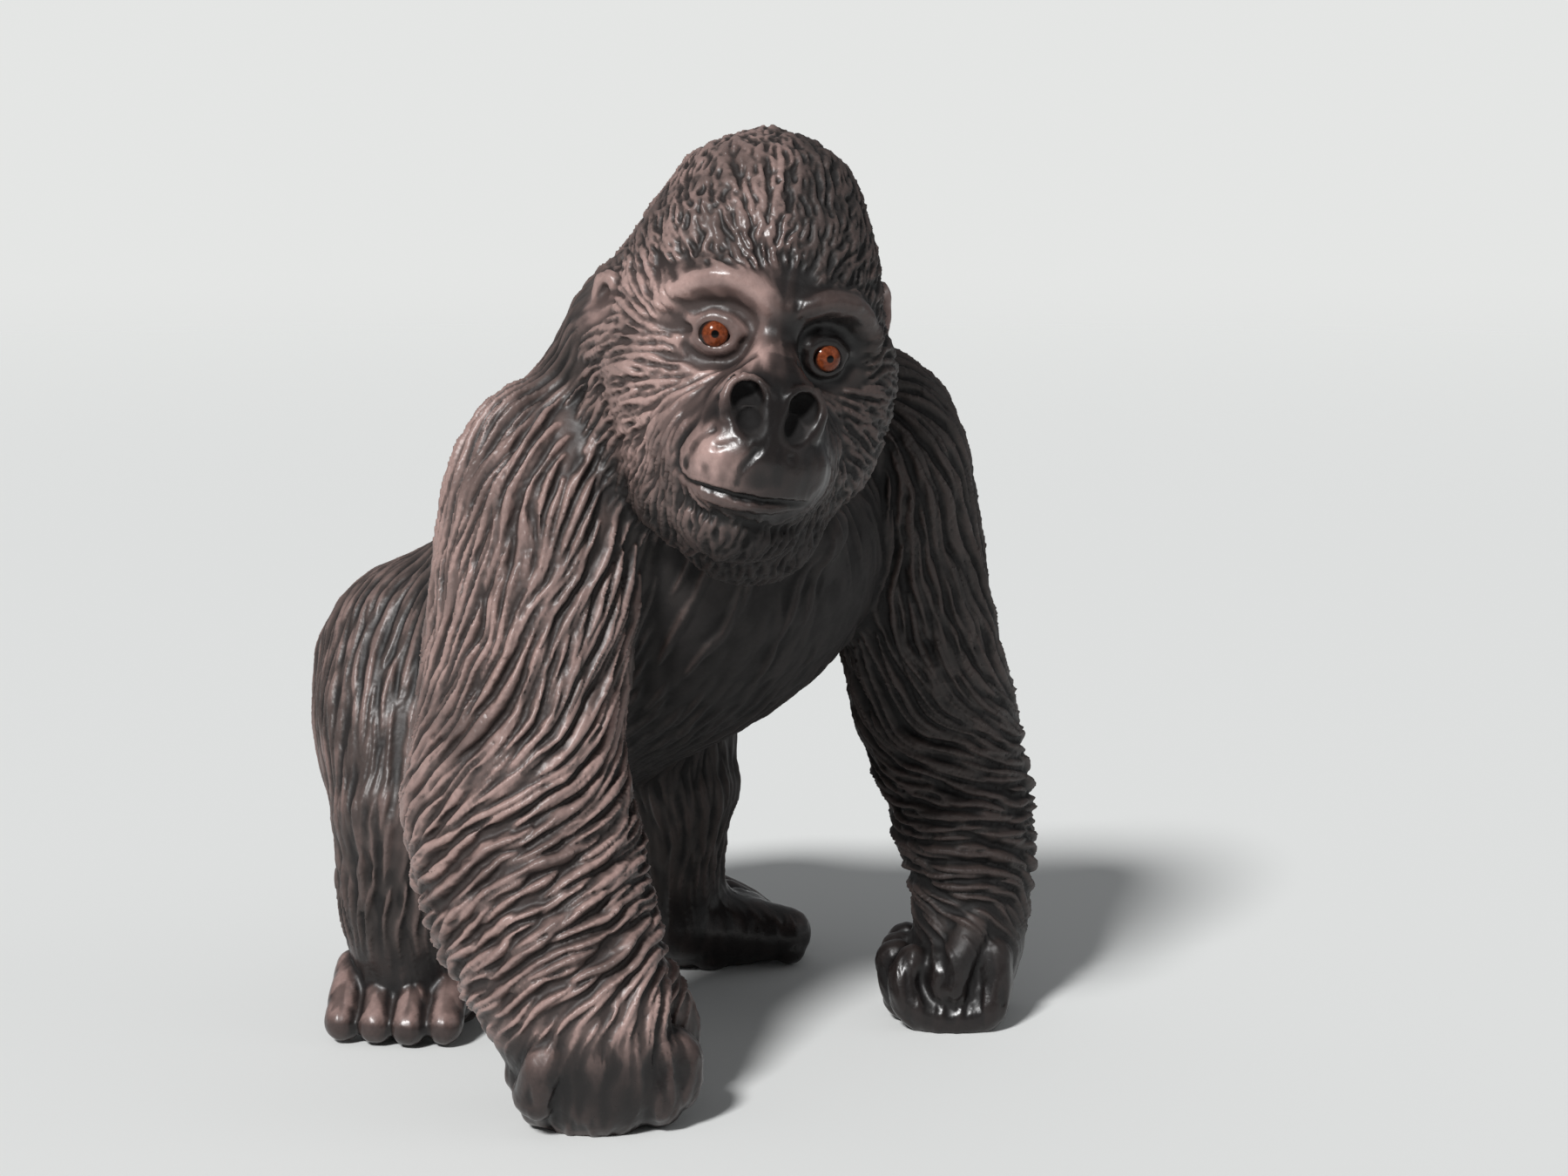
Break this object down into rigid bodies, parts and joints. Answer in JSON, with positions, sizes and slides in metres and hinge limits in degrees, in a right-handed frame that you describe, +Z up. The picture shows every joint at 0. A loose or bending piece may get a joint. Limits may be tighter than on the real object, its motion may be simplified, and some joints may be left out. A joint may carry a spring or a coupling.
{
  "type": "gorilla figurine",
  "caption": "Moulded plastic figurine of a gorilla walking on its knuckles with its head turned to one side; it stands on its hands and feet as an ornament or toy.",
  "frame": {"origin": "on the floor, under the middle of the figure's bounding box", "axes": "+Z up; the body faces -Y, and its left side is +X"},
  "size_m": [0.0624, 0.0646, 0.077],
  "materials": {
    "body": "dark brown, satin, with paler dry-brushed ridges"
  },
  "bodies": {
    "root": {"gorilla": "body"}
  },
  "joints": []
}
